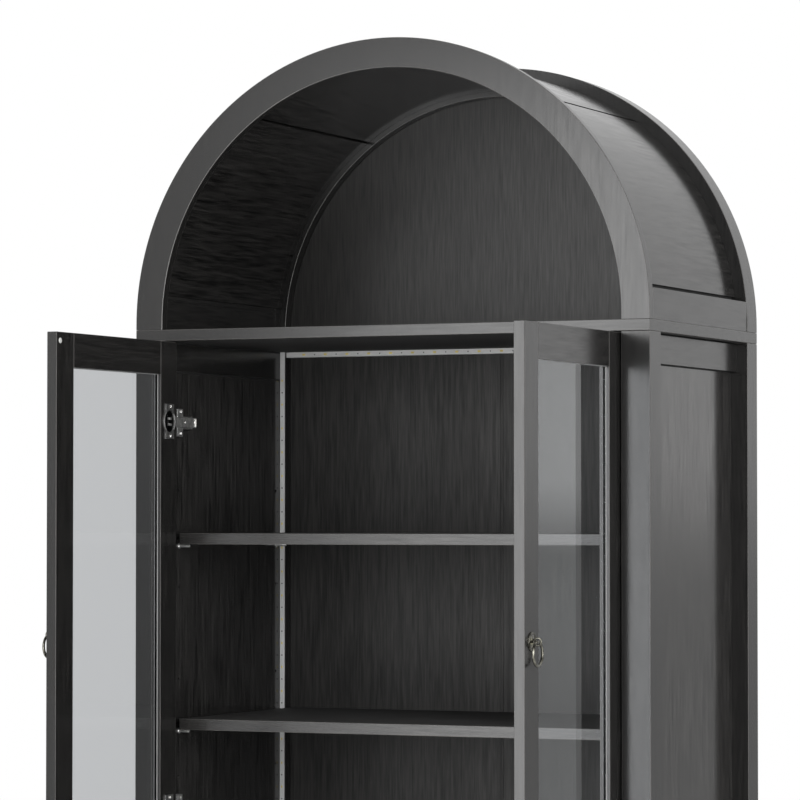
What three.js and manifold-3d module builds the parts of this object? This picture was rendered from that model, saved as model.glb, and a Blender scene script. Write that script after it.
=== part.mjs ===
// Arched curio cabinet with two glazed doors, in millimetres, +Z up.
// X runs across the front, Y runs from the front plane (Y = 0) to the back, Z = 0 is the floor.
// Both doors stand open at a right angle, which is the rest pose. The finished assembly is moved
// along Y at the end, so that its origin is the middle of the floor area that it covers.

import * as THREE from 'three';
import { mergeGeometries, mergeVertices } from 'three/addons/utils/BufferGeometryUtils.js';
import Module from 'manifold-3d';

const wasm = await Module();
wasm.setup();

// Driving dimensions
const WIDTH = 800;
const DEPTH = 450;
const HEIGHT = 1850;
const POST = 42.7; // square section of posts, width of the arch rings
const BOARD = 16; // mid board, bottom board and shelves
const PANEL = 9; // side panels
const GAP = 0.3; // clearance between touching pieces

// Arch
const HALF = WIDTH / 2;
const ARCH_CENTRE_Z = HEIGHT - HALF;
const ARCH_STUB = 8.5; // straight part of the rings below the half circle
const RING_OUTER = HALF;
const RING_INNER = HALF - POST;
const FRONT_RING_DEPTH = 15;
const PANEL_INNER_X = RING_INNER + 8; // inner face of side panels and arch skin
const PANEL_OUTER_X = PANEL_INNER_X + PANEL;
const SKIN_OUTER = HALF - 17; // the skin is flush with the side rails outside
const BASE_RAIL_HEIGHT = 44;
const BASE_RAIL_OUTER_X = HALF - 1;
const SKIN_SEAM_ANGLE = THREE.MathUtils.degToRad(54);
const SKIN_SEAM = 4.6; // open joint between two stretches of the skin
const SKIN_FOOT = 5.5; // open joint between the skin and the base rails
const ARC_SEGMENTS = 56;

// Carcass heights
const MID_TOP = ARCH_CENTRE_Z - ARCH_STUB;
const MID_UNDER = MID_TOP - BOARD;
const BOTTOM_TOP = 60;
const BOTTOM_UNDER = BOTTOM_TOP - BOARD;
const RAIL_CLEARANCE = 4; // bottom rails stop above the floor
const REAR_POST_Y = DEPTH - POST;
const BACK_PANEL_Y = REAR_POST_Y + 19;
const BACK_PANEL = 5;
const ARCH_BACK = 9;
const STRIP_HALF_WIDTH = 2;

// Side rails stand proud of the side panels
const SIDE_RAIL = { outerX: SKIN_OUTER, height: 40, topGap: 2.5 };
const SIDE_PANEL_GAP = 1.8;

// Blind holes for shelf pins, in two rows up the inner face of each side panel: one under every
// shelf, and two spare ones beside it. Drops are from the board's underside.
const PIN_HOLE = { radius: 2.5, depth: 6.5, rows: [69, 391], spareDrops: [216, 359], sparePitch: 278, segments: 10 };

// Shelves pass between the posts and rest on pins beside the panels
const SHELF_COUNT = 4;
const SHELF_HALF_WIDTH = RING_INNER - 1.3;
const SHELF_FRONT_Y = 53.7;
const FIRST_SHELF_DROP = 280.2; // board underside to the first shelf's top
const SHELF_PITCH = 271.3;

// Doors: u runs from the hinge edge to the lock edge, t from the outer face inwards
const DOOR = {
  thickness: 15,
  side: RING_INNER - 3, // |X| of the outer face when open, of the hinge edge when closed
  hingeY: 11.3, // Y of the hinge edge when open
  width: 352.3,
  member: 48,
  low: BOTTOM_TOP + 2,
  high: MID_UNDER - 2,
};
const GLASS = { low: 5.5, high: 9.5, inset: 6, grooveLow: 5.2, grooveHigh: 9.8, grooveDepth: 7 };

// Concealed cup hinges
const CUP = { u: 22.5, radius: 17.2, wall: 1.2, depth: 11.2, clearance: 0.4, segments: 24 };
const FLANGE = { width: 24, height: 51, thick: 1.4 };
const HINGE_END = 115.7; // door end to the nearest hinge centre
const HINGE_SIDES = { plateY: [49, 66], wing: 20.5, bodyY: [45, 96], bodyHalf: 9, faceX: RING_INNER - 0.4 };
const HINGE_ARM = { y: [20, 90], half: 7.5, rise: 9.5, bodyY: POST + 2.5, overlap: 0.5, sink: 1 };

// Ring pulls
const PULL = { z: MID_UNDER - 418.5, roseRadius: 13, roseTop: 9.4, roseThick: 3.2, roseRim: 1.6, stand: 8.4 };
const PULL_RING = { radius: 15.7, wire: 2 };
const PULL_EYE = { radius: 4.7, wire: 1.4, neck: 2.4 };

// Lighting
const LED = { high: 8, thick: 2.2, channel: 14, clear: 1 };
const POWER_BOX = { x: [250, 320], thick: 14, drop: [20, 60] };

// Wall bracket behind the mid board: a level flange and a hanging one
const BRACKET = { x: [-240, -200], thick: 3, drop: 40, wallGap: 1 };
const TOE_SETBACK = 3;

const COLOURS = {
  oak: [0x1d1d1f, 0.42, 0.0],
  carcass: [0x161618, 0.5, 0.0],
  glass: [0xb9c2c4, 0.04, 0.0],
  nickel: [0xb8b8b6, 0.28, 0.9],
  bronze: [0x4a3d2c, 0.35, 0.85],
  led: [0xd9dcd6, 0.5, 0.0],
  plastic: [0x202022, 0.6, 0.0],
};

const cabinet = new THREE.Group();

function material(kind) {
  const [color, roughness, metalness] = COLOURS[kind];
  const glassy = kind === 'glass';
  return new THREE.MeshStandardMaterial({
    color, roughness, metalness, transparent: glassy, opacity: glassy ? 0.35 : 1,
  });
}

function add(name, geometry, kind) {
  const mesh = new THREE.Mesh(geometry, material(kind));
  mesh.name = name;
  cabinet.add(mesh);
}

// A box from its two extremes along each axis, in either order.
function block([xa, xb], [ya, yb], [za, zb]) {
  const geometry = new THREE.BoxGeometry(Math.abs(xb - xa), Math.abs(yb - ya), Math.abs(zb - za));
  return geometry.translate((xa + xb) / 2, (ya + yb) / 2, (za + zb) / 2);
}

function polygon(points) {
  return new THREE.Shape(points.map(([a, b]) => new THREE.Vector2(a, b)));
}

// A shape drawn in X and Z, extruded from y0 to y1.
function extrudeY(shape, y0, y1, curveSegments = ARC_SEGMENTS) {
  const geometry = new THREE.ExtrudeGeometry(shape, { depth: y1 - y0, bevelEnabled: false, curveSegments });
  return geometry.rotateX(Math.PI / 2).translate(0, y1, 0);
}

// A shape drawn in X and Y, extruded from z0 to z1.
function extrudeZ(shape, z0, z1) {
  const geometry = new THREE.ExtrudeGeometry(shape, { depth: z1 - z0, bevelEnabled: false, curveSegments: 8 });
  return geometry.translate(0, 0, z0);
}

function toSolid(geometry) {
  const bare = geometry.clone();
  bare.deleteAttribute('normal');
  bare.deleteAttribute('uv');
  const merged = mergeVertices(bare, 1e-4);
  return new wasm.Manifold(new wasm.Mesh({
    numProp: 3,
    vertProperties: new Float32Array(merged.attributes.position.array),
    triVerts: new Uint32Array(merged.index.array),
  }));
}

function toGeometry(solid) {
  const mesh = solid.getMesh();
  const geometry = new THREE.BufferGeometry();
  geometry.setAttribute('position', new THREE.BufferAttribute(new Float32Array(mesh.vertProperties), 3));
  geometry.setIndex(new THREE.BufferAttribute(new Uint32Array(mesh.triVerts), 1));
  const flat = geometry.toNonIndexed();
  flat.computeVertexNormals();
  return flat;
}

function join(...geometries) {
  return toGeometry(geometries.map(toSolid).reduce((whole, piece) => whole.add(piece)));
}

function cut(geometry, tools) {
  return toGeometry(tools.map(toSolid).reduce((whole, tool) => whole.subtract(tool), toSolid(geometry)));
}

// Arch -------------------------------------------------------------------

function ringShape() {
  const foot = MID_TOP + GAP;
  const shape = new THREE.Shape();
  shape.moveTo(RING_OUTER, foot);
  shape.lineTo(RING_OUTER, ARCH_CENTRE_Z);
  shape.absarc(0, ARCH_CENTRE_Z, RING_OUTER, 0, Math.PI, false);
  shape.lineTo(-RING_OUTER, foot);
  shape.lineTo(-RING_INNER, foot);
  shape.lineTo(-RING_INNER, ARCH_CENTRE_Z);
  shape.absarc(0, ARCH_CENTRE_Z, RING_INNER, Math.PI, 0, true);
  shape.lineTo(RING_INNER, foot);
  return shape;
}

// A stretch of the curved skin between two ends, each with its angle on the outer and inner faces.
function skinShape(from, to) {
  const shape = new THREE.Shape();
  shape.absarc(0, ARCH_CENTRE_Z, SKIN_OUTER, from.outer, to.outer, false);
  shape.absarc(0, ARCH_CENTRE_Z, PANEL_INNER_X, to.inner, from.inner, true);
  return shape;
}

function addArch() {
  const skinFront = FRONT_RING_DEPTH + GAP;
  const skinBack = REAR_POST_Y - GAP;
  add('front_arch_ring', extrudeY(ringShape(), 0, FRONT_RING_DEPTH), 'oak');
  add('rear_arch_ring', extrudeY(ringShape(), REAR_POST_Y, DEPTH), 'oak');

  const railTop = MID_TOP + BASE_RAIL_HEIGHT;
  const seat = railTop + SKIN_FOOT - ARCH_CENTRE_Z;
  const flatEnd = { outer: Math.asin(seat / SKIN_OUTER), inner: Math.asin(seat / PANEL_INNER_X) };
  const half = SKIN_SEAM / 2 / PANEL_INNER_X;
  const seam = (angle) => ({ outer: angle, inner: angle });
  const mirror = ({ outer, inner }) => ({ outer: Math.PI - outer, inner: Math.PI - inner });
  const stretches = {
    right: [flatEnd, seam(SKIN_SEAM_ANGLE - half)],
    top: [seam(SKIN_SEAM_ANGLE + half), mirror(seam(SKIN_SEAM_ANGLE + half))],
    left: [mirror(seam(SKIN_SEAM_ANGLE - half)), mirror(flatEnd)],
  };
  for (const [side, [from, to]] of Object.entries(stretches)) {
    add(`arch_skin_${side}`, extrudeY(skinShape(from, to), skinFront, skinBack, 24), 'oak');
  }
  for (const [side, s] of [['left', -1], ['right', 1]]) {
    const rail = block([s * PANEL_INNER_X, s * BASE_RAIL_OUTER_X], [skinFront, skinBack], [MID_TOP + GAP, railTop]);
    add(`arch_base_rail_${side}`, rail, 'oak');
  }

  const inner = RING_INNER - GAP;
  const back = new THREE.Shape();
  back.moveTo(inner, MID_TOP + GAP);
  back.lineTo(inner, ARCH_CENTRE_Z);
  back.absarc(0, ARCH_CENTRE_Z, inner, 0, Math.PI, false);
  back.lineTo(-inner, MID_TOP + GAP);
  add('arch_back_panel', extrudeY(back, BACK_PANEL_Y, BACK_PANEL_Y + ARCH_BACK), 'oak');
}

// Carcass ----------------------------------------------------------------

// All the pin holes of one side panel, as one geometry of separate short cylinders.
function pinHoles(s) {
  const { radius, depth, segments } = PIN_HOLE;
  const length = depth + 1; // starts 1 mm off the panel, so that the cut is clean
  const middle = s * (PANEL_INNER_X - 1 + length / 2);
  const holes = [];
  for (let i = 0; i < SHELF_COUNT; i += 1) {
    const pinDrop = FIRST_SHELF_DROP + BOARD + radius + i * SHELF_PITCH;
    const drops = [pinDrop, ...PIN_HOLE.spareDrops.map((drop) => drop + i * PIN_HOLE.sparePitch)];
    for (const drop of drops) {
      for (const y of PIN_HOLE.rows) {
        const hole = new THREE.CylinderGeometry(radius, radius, length, segments);
        holes.push(hole.rotateZ(Math.PI / 2).translate(middle, y, MID_UNDER - drop));
      }
    }
  }
  return mergeGeometries(holes);
}

function addCarcass() {
  add('mid_board', block([-HALF, HALF], [0, DEPTH], [MID_UNDER, MID_TOP]), 'oak');

  const front = RING_INNER - GAP;
  const wide = PANEL_INNER_X - GAP;
  const clear = POST + GAP;
  const back = BACK_PANEL_Y - GAP;
  const rearClear = REAR_POST_Y - GAP;
  const outline = polygon([
    [-front, 0], [front, 0], [front, clear], [wide, clear], [wide, rearClear], [front, rearClear],
    [front, back], [-front, back], [-front, rearClear], [-wide, rearClear], [-wide, clear], [-front, clear],
  ]);
  add('bottom_board', extrudeZ(outline, BOTTOM_UNDER, BOTTOM_TOP), 'oak');
  add('toe_rail', block([-front, front], [TOE_SETBACK, TOE_SETBACK + BOARD], [RAIL_CLEARANCE, BOTTOM_UNDER - GAP]), 'oak');

  for (const [side, s] of [['left', -1], ['right', 1]]) {
    const postX = [s * RING_INNER, s * HALF];
    add(`front_${side}_post`, block(postX, [0, POST], [0, MID_UNDER - GAP]), 'oak');
    add(`rear_${side}_post`, block(postX, [REAR_POST_Y, DEPTH], [0, MID_UNDER - GAP]), 'oak');

    const between = [clear, rearClear];
    const railX = [s * PANEL_INNER_X, s * SIDE_RAIL.outerX];
    const railHigh = MID_UNDER - SIDE_RAIL.topGap;
    const railLow = railHigh - SIDE_RAIL.height;
    add(`side_top_rail_${side}`, block(railX, between, [railLow, railHigh]), 'oak');
    add(`side_bottom_rail_${side}`, block(railX, between, [RAIL_CLEARANCE, BOTTOM_TOP]), 'oak');
    const panelX = [s * PANEL_INNER_X, s * PANEL_OUTER_X];
    const panelZ = [BOTTOM_TOP + SIDE_PANEL_GAP, railLow - SIDE_PANEL_GAP];
    add(`side_panel_${side}`, cut(block(panelX, between, panelZ), [pinHoles(s)]), 'oak');

    const backX = [s * (STRIP_HALF_WIDTH + GAP), s * front];
    const backZ = [BOTTOM_UNDER, MID_UNDER - GAP];
    add(`back_panel_${side}`, block(backX, [BACK_PANEL_Y, BACK_PANEL_Y + BACK_PANEL], backZ), 'carcass');
  }
  const stripY = [BACK_PANEL_Y - GAP / 2, BACK_PANEL_Y + BACK_PANEL + 2];
  add('back_joint_strip', block([-STRIP_HALF_WIDTH, STRIP_HALF_WIDTH], stripY, [BOTTOM_UNDER, MID_UNDER - GAP]), 'carcass');
}

function addShelves() {
  const across = [-SHELF_HALF_WIDTH, SHELF_HALF_WIDTH];
  for (let i = 0; i < SHELF_COUNT; i += 1) {
    const top = MID_UNDER - FIRST_SHELF_DROP - i * SHELF_PITCH;
    const shelf = block(across, [SHELF_FRONT_Y, BACK_PANEL_Y - GAP], [top - BOARD, top]);
    add(`shelf_${i + 1}`, shelf, 'oak');
  }
}

// Doors ------------------------------------------------------------------

// Place of a door point in the open pose: s is -1 for the left door and 1 for the right.
function doorPoint(s, u, t) {
  return [s * (DOOR.side - t), DOOR.hingeY - u];
}

function doorBlock(s, [ua, ub], [ta, tb], z) {
  const [xa, ya] = doorPoint(s, ua, ta);
  const [xb, yb] = doorPoint(s, ub, tb);
  return block([xa, xb], [ya, yb], z);
}

// A stile: a board with a glazing groove along the edge at uGroove.
function stile(s, uPlain, uGroove) {
  const step = Math.sign(uGroove - uPlain) * GLASS.grooveDepth;
  const outline = [
    [uPlain, 0], [uGroove, 0], [uGroove, GLASS.grooveLow], [uGroove - step, GLASS.grooveLow],
    [uGroove - step, GLASS.grooveHigh], [uGroove, GLASS.grooveHigh],
    [uGroove, DOOR.thickness], [uPlain, DOOR.thickness],
  ];
  return extrudeZ(polygon(outline.map(([u, t]) => doorPoint(s, u, t))), DOOR.low, DOOR.high);
}

// A rail between the stiles, with its glazing groove along the edge at zGroove.
function rail(s, zPlain, zGroove) {
  const step = Math.sign(zGroove - zPlain) * GLASS.grooveDepth;
  const outline = [
    [0, zPlain], [0, zGroove], [GLASS.grooveLow, zGroove], [GLASS.grooveLow, zGroove - step],
    [GLASS.grooveHigh, zGroove - step], [GLASS.grooveHigh, zGroove],
    [DOOR.thickness, zGroove], [DOOR.thickness, zPlain],
  ];
  const shape = polygon(outline.map(([t, z]) => [s * (DOOR.side - t), z]));
  const uLow = DOOR.member + GAP;
  const uHigh = DOOR.width - DOOR.member - GAP;
  return extrudeY(shape, DOOR.hingeY - uHigh, DOOR.hingeY - uLow);
}

// A disc or ring turned about the door's thickness direction at (u, z).
function turned(s, profile, u, z, segments) {
  const points = profile.map(([r, t]) => new THREE.Vector2(r, t));
  const [x, y] = doorPoint(s, u, 0);
  const geometry = new THREE.LatheGeometry(points, segments);
  // Lathe's +Y axis turns to the inward direction of the door's thickness.
  return geometry.rotateZ(s * Math.PI / 2).translate(x, y, z);
}

function hingeHeights() {
  const low = DOOR.low + HINGE_END;
  const high = DOOR.high - HINGE_END;
  return [['top', high], ['middle', (low + high) / 2], ['bottom', low]];
}

function cupHole(s, z) {
  const radius = CUP.radius + CUP.clearance;
  const floor = DOOR.thickness - CUP.depth - CUP.clearance;
  const open = DOOR.thickness + 1;
  return turned(s, [[0, floor], [radius, floor], [radius, open], [0, open]], CUP.u, z, CUP.segments);
}

function cupGeometry(s, z) {
  const face = DOOR.thickness + GAP;
  const floor = DOOR.thickness - CUP.depth;
  const rim = face + FLANGE.thick;
  const inside = CUP.radius - CUP.wall;
  const bowl = turned(s, [
    [0, floor], [CUP.radius, floor], [CUP.radius, rim], [inside, rim], [inside, floor + CUP.wall], [0, floor + CUP.wall],
  ], CUP.u, z, CUP.segments);
  const u = [CUP.u - FLANGE.width / 2, CUP.u + FLANGE.width / 2];
  const plate = doorBlock(s, u, [face, rim], [z - FLANGE.height / 2, z + FLANGE.height / 2]);
  const well = turned(s, [[0, floor + CUP.wall], [inside, floor + CUP.wall], [inside, rim + 1], [0, rim + 1]],
    CUP.u, z, CUP.segments);
  return toGeometry(toSolid(plate).subtract(toSolid(well)).add(toSolid(bowl)));
}

function armGeometry(s, z) {
  const panelX = s * (PANEL_INNER_X - GAP);
  const faceX = s * HINGE_SIDES.faceX;
  const topX = faceX - s * HINGE_ARM.rise;
  const span = (half) => [z - half, z + half];
  return join(
    block([panelX, faceX], HINGE_SIDES.plateY, span(HINGE_SIDES.wing)),
    block([panelX, faceX], HINGE_SIDES.bodyY, span(HINGE_SIDES.bodyHalf)),
    block([faceX + s * HINGE_ARM.sink, topX], [HINGE_ARM.bodyY, HINGE_ARM.y[1]], span(HINGE_ARM.half)),
    block([faceX, topX], [HINGE_ARM.y[0], HINGE_ARM.bodyY + HINGE_ARM.overlap], span(HINGE_ARM.half)),
  );
}

function torus(radius, wire, tubular) {
  return new THREE.TorusGeometry(radius, wire, 10, tubular);
}

function addPull(side, s) {
  const u = DOOR.width - DOOR.member / 2;
  const [face, y] = doorPoint(s, u, -GAP);
  const axisX = face + s * PULL.stand;
  const rose = turned(s, [
    [0, -GAP], [PULL.roseRadius, -GAP], [PULL.roseRadius, -GAP - PULL.roseRim],
    [PULL.roseTop, -GAP - PULL.roseThick], [0, -GAP - PULL.roseThick],
  ].reverse(), u, PULL.z, 32);
  const eye = torus(PULL_EYE.radius, PULL_EYE.wire, 20).rotateX(Math.PI / 2).translate(axisX, y, PULL.z);
  const neckX = [face + s * PULL.roseRim, axisX - s * (PULL_EYE.radius - PULL_EYE.wire / 2)];
  const half = PULL_EYE.neck / 2;
  const neck = block(neckX, [y - half, y + half], [PULL.z - half, PULL.z + half]);
  add(`${side}_pull_mount`, join(rose, eye, neck), 'bronze');
  const ring = torus(PULL_RING.radius, PULL_RING.wire, 40).rotateY(Math.PI / 2);
  add(`${side}_pull_ring`, ring.translate(axisX, y, PULL.z - PULL_RING.radius), 'bronze');
}

function addDoor(side, s) {
  const { width, member, low, high } = DOOR;
  const holes = hingeHeights().map(([, z]) => cupHole(s, z));
  add(`${side}_door_hinge_stile`, cut(stile(s, 0, member), holes), 'oak');
  add(`${side}_door_lock_stile`, stile(s, width, width - member), 'oak');
  add(`${side}_door_top_rail`, rail(s, high, high - member), 'oak');
  add(`${side}_door_bottom_rail`, rail(s, low, low + member), 'oak');

  const edge = member - GLASS.inset;
  const pane = doorBlock(s, [edge, width - edge], [GLASS.low, GLASS.high], [low + edge, high - edge]);
  add(`${side}_door_glass`, pane, 'glass');

  for (const [place, z] of hingeHeights()) {
    add(`${side}_hinge_cup_${place}`, cupGeometry(s, z), 'nickel');
    add(`${side}_hinge_arm_${place}`, armGeometry(s, z), 'nickel');
  }
  addPull(side, s);
}

// Lighting and fittings at the back --------------------------------------

function addFittings() {
  const high = MID_UNDER - GAP;
  const reach = RING_INNER - GAP;
  const channelY = [BACK_PANEL_Y - LED.clear - LED.channel, BACK_PANEL_Y - LED.clear];
  add('led_strip_top', block([-reach, reach], channelY, [high - LED.high, high]), 'led');
  for (const [side, s] of [['left', -1], ['right', 1]]) {
    const across = [s * (PANEL_INNER_X - GAP), s * (RING_INNER + GAP)];
    const along = [REAR_POST_Y - GAP - LED.thick, REAR_POST_Y - GAP];
    add(`led_strip_${side}`, block(across, along, [BOTTOM_TOP + LED.clear, high]), 'led');
  }

  const rearFace = BACK_PANEL_Y + BACK_PANEL + GAP;
  const boxZ = POWER_BOX.drop.map((drop) => high - drop);
  add('led_power_box', block(POWER_BOX.x, [rearFace, rearFace + POWER_BOX.thick], boxZ), 'plastic');
  const wallFace = DEPTH - BRACKET.wallGap;
  const bracket = join(
    block(BRACKET.x, [rearFace, wallFace], [high - BRACKET.thick, high]),
    block(BRACKET.x, [wallFace - BRACKET.thick, wallFace], [high - BRACKET.drop, high]),
  );
  add('wall_anchor_bracket', bracket, 'nickel');
}

addArch();
addCarcass();
addShelves();
addDoor('left', -1);
addDoor('right', 1);
addFittings();

cabinet.position.y = -(DEPTH + DOOR.hingeY - DOOR.width) / 2;

export default cabinet;
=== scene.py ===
"""Arched curio cabinet: finishes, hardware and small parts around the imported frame.

All lengths are metres in the frame's own axes: X across the front, Y into the cabinet, Z up.
"""

import logging
import math
from dataclasses import dataclass, replace
from enum import Enum

import bpy
import numpy as np
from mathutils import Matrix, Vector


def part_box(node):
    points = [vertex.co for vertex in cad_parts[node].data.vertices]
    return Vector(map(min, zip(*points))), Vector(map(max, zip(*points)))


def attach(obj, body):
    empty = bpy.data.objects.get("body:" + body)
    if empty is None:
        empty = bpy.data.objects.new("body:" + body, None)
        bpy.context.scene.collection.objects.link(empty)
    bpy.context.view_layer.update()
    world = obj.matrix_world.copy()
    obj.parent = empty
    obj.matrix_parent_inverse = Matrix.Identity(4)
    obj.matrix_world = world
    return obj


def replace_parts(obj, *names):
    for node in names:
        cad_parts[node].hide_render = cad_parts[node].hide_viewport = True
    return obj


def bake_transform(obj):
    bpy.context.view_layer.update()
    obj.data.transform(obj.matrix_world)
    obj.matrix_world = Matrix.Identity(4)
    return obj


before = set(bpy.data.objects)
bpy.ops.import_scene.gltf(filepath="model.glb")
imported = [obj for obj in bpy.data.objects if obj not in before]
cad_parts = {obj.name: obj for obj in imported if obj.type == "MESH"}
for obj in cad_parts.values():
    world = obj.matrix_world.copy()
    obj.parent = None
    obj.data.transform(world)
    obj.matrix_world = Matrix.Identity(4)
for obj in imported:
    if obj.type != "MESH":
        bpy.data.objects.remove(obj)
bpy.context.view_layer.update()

LOG = logging.getLogger("cabinet")
Array = np.ndarray
Socket = bpy.types.NodeSocket
Triple = tuple[float, float, float]
Pair = tuple[float, float]
MM = 0.001
WHOLE = (0.0, 1.0)
CRISP = 12.0  # degrees past which an edge of a bent or eased piece stays crisp
CLEAR = 0.05 * MM  # play between a strip and the faces beside it


class Side(Enum):
    """Which of the two mirrored halves a piece belongs to, as the sign of X."""

    LEFT = -1
    RIGHT = 1

    @property
    def word(self) -> str:
        """The side's name inside node names."""
        return self.name.lower()


class Grain(Enum):
    """The axis that the grain runs along, as how often the figure repeats per metre on X, Y and Z."""

    ACROSS = (1.4, 12.0, 24.0)
    DEEP = (24.0, 1.4, 24.0)
    UPRIGHT = (24.0, 24.0, 1.2)


# Shapes -------------------------------------------------------------------


@dataclass(frozen=True)
class Solid:
    """One closed mesh or several, as arrays.

    points is (n, 3), quads is (m, 4), tints holds the material slot of each quad, and caps are the
    flat end faces, each a row of point numbers.
    """

    points: Array
    quads: Array
    tints: Array
    caps: tuple[tuple[int, ...], ...] = ()

    def volume(self) -> float:
        """Signed volume: a sixth of the sum of the triangles' triple products."""
        p, q = self.points, self.quads
        fans = [q[:, [0, 1, 2]], q[:, [0, 2, 3]]]
        for cap in self.caps:
            row = np.array(cap)
            fans.append(np.stack([np.full(len(row) - 2, row[0]), row[1:-1], row[2:]], axis=1))
        tri = np.concatenate(fans)
        return float(np.einsum("ij,ij->", p[tri[:, 0]], np.cross(p[tri[:, 1]], p[tri[:, 2]])) / 6)

    def outward(self) -> "Solid":
        """The same shape with every face turned outwards."""
        if self.volume() >= 0:
            return self
        return replace(self, quads=self.quads[:, ::-1], caps=tuple(cap[::-1] for cap in self.caps))

    def moved(
        self, origin: Triple = (0, 0, 0), x: Triple = (1, 0, 0), y: Triple = (0, 1, 0), z: Triple = (0, 0, 1)
    ) -> "Solid":
        """The shape with its own axes laid along three given directions, and its origin moved.

        Args:
            origin: where the shape's own origin goes.
            x: direction of its first axis.
            y: direction of its second axis.
            z: direction of its third axis.

        Returns:
            The placed shape, faces outwards.
        """
        turn = np.array([x, y, z], float)
        return replace(self, points=self.points @ turn + np.array(origin, float)).outward()

    def repeated(self, places: Array) -> "Solid":
        """Copies of the shape, one at each row of places."""
        n, k = len(self.points), len(places)
        points = (self.points[None] + np.asarray(places, float)[:, None]).reshape(-1, 3)
        quads = (self.quads[None] + n * np.arange(k)[:, None, None]).reshape(-1, 4)
        caps = tuple(tuple(i + n * j for i in cap) for j in range(k) for cap in self.caps)
        return Solid(points, quads, np.tile(self.tints, k), caps)


def rows(x, y, z) -> Array:
    """Places from coordinates that are numbers or arrays, one place in each row."""
    return np.stack(np.broadcast_arrays(x, y, z), axis=-1).astype(float)


def full_turn(steps: int) -> Array:
    """Evenly spaced angles round a circle."""
    return np.arange(steps) * 2 * math.pi / steps


def inner_face(side: Side, box: tuple[Array, Array]) -> float:
    """X of the face of a box that is nearest to the cabinet's middle plane."""
    return side.value * min(abs(box[0][0]), abs(box[1][0]))


def sideways(sign: int) -> dict[str, Triple]:
    """Axes that lay a shape's own Z along X, towards `sign`, and its own Y upwards."""
    return {"x": (0, 1, 0), "y": (0, 0, 1), "z": (sign, 0, 0)}


def together(*solids: Solid) -> Solid:
    """Several solids as one, each kept closed."""
    starts = np.cumsum([0] + [len(s.points) for s in solids])
    return Solid(
        np.concatenate([s.points for s in solids]),
        np.concatenate([s.quads + at for s, at in zip(solids, starts)]),
        np.concatenate([s.tints for s in solids]),
        tuple(tuple(i + int(at) for i in cap) for s, at in zip(solids, starts) for cap in s.caps),
    )


def tube(rings: Array, closed: bool = False, tints: Array | None = None) -> Solid:
    """A skin over rings of points.

    Point (i, j) is joined to (i + 1, j) and (i, j + 1); the rings close on themselves, and the ends
    are flat caps unless the tube itself closes into a loop.

    Args:
        rings: (n, k, 3) points, n rings of k points.
        closed: whether the last ring joins the first.
        tints: material slot of each of the k strips, all 0 if left out.

    Returns:
        The closed solid, faces outwards.
    """
    n, k = rings.shape[:2]
    i, j = np.meshgrid(np.arange(n if closed else n - 1), np.arange(k), indexing="ij")
    nxt, side = (i + 1) % n, (j + 1) % k
    quads = np.stack([i * k + j, nxt * k + j, nxt * k + side, i * k + side], axis=-1).reshape(-1, 4)
    slots = np.zeros(k, int) if tints is None else np.asarray(tints)
    caps = () if closed else (tuple(range(k)), tuple((n - 1) * k + m for m in range(k - 1, -1, -1)))
    return Solid(rings.reshape(-1, 3), quads, slots[j].reshape(-1), caps).outward()


def eased_outline(a: Pair, b: Pair, ease: float, steps: int = 3) -> tuple[Array, Array]:
    """A rectangle with a quarter circle of radius `ease` in each corner.

    Args:
        a: lowest and highest value on the first axis.
        b: lowest and highest value on the second axis.
        ease: radius of the corners.
        steps: facets in each corner.

    Returns:
        The (k, 2) outline, and (k,) slots that are 1 on the corners' facets and 0 on the flats.
    """
    right, left, top, foot = a[1] - ease, a[0] + ease, b[1] - ease, b[0] + ease
    centres = np.array([[right, top], [left, top], [left, foot], [right, foot]])
    angle = np.arange(4)[:, None] * math.pi / 2 + np.linspace(0, math.pi / 2, steps + 1)[None]
    points = centres[:, None] + ease * np.stack([np.cos(angle), np.sin(angle)], axis=-1)
    slots = np.tile(np.r_[np.ones(steps, int), 0], 4)
    return points.reshape(-1, 2), slots


def eased_block(low: Triple, high: Triple, ease: float, steps: int = 3) -> Solid:
    """A block whose edges and corners are rounded.

    A small sphere is cut into eight parts, and each part is moved out to its corner of the block:
    point = corner centre + ease * (cos lat cos lon, cos lat sin lon, sin lat).

    Args:
        low: lowest corner.
        high: highest corner.
        ease: radius of the rounding.
        steps: facets in each quarter turn.

    Returns:
        The closed solid.
    """
    low_c, high_c = np.array(low, float) + ease, np.array(high, float) - ease
    quarter = np.linspace(0, 1, steps + 1)
    lon = (np.arange(4)[:, None] + quarter[None]).reshape(-1) * math.pi / 2
    rise = np.linspace(0, math.radians(84), steps + 1)
    lat = np.r_[-rise[::-1], rise]
    right = np.isin(np.repeat(np.arange(4), steps + 1), (0, 3))
    back = np.isin(np.repeat(np.arange(4), steps + 1), (0, 1))
    upper = np.r_[np.zeros(steps + 1, bool), np.ones(steps + 1, bool)]
    x = np.where(right, high_c[0], low_c[0])[None] + ease * np.cos(lat)[:, None] * np.cos(lon)[None]
    y = np.where(back, high_c[1], low_c[1])[None] + ease * np.cos(lat)[:, None] * np.sin(lon)[None]
    z = np.where(upper, high_c[2], low_c[2])[:, None] + ease * np.sin(lat)[:, None]
    return tube(rows(x, y, z))


def lathed(profile: Array, steps: int = 32) -> Solid:
    """A profile turned about the Z axis: point = (r cos a, r sin a, h) for each (r, h) of the profile.

    Args:
        profile: (n, 2) radii and heights, from one end to the other, radii above zero.
        steps: facets round the axis.

    Returns:
        The closed solid, its ends capped.
    """
    angle = full_turn(steps)
    r, h = np.asarray(profile, float).T
    return tube(rows(r[:, None] * np.cos(angle), r[:, None] * np.sin(angle), h[:, None]))


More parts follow.
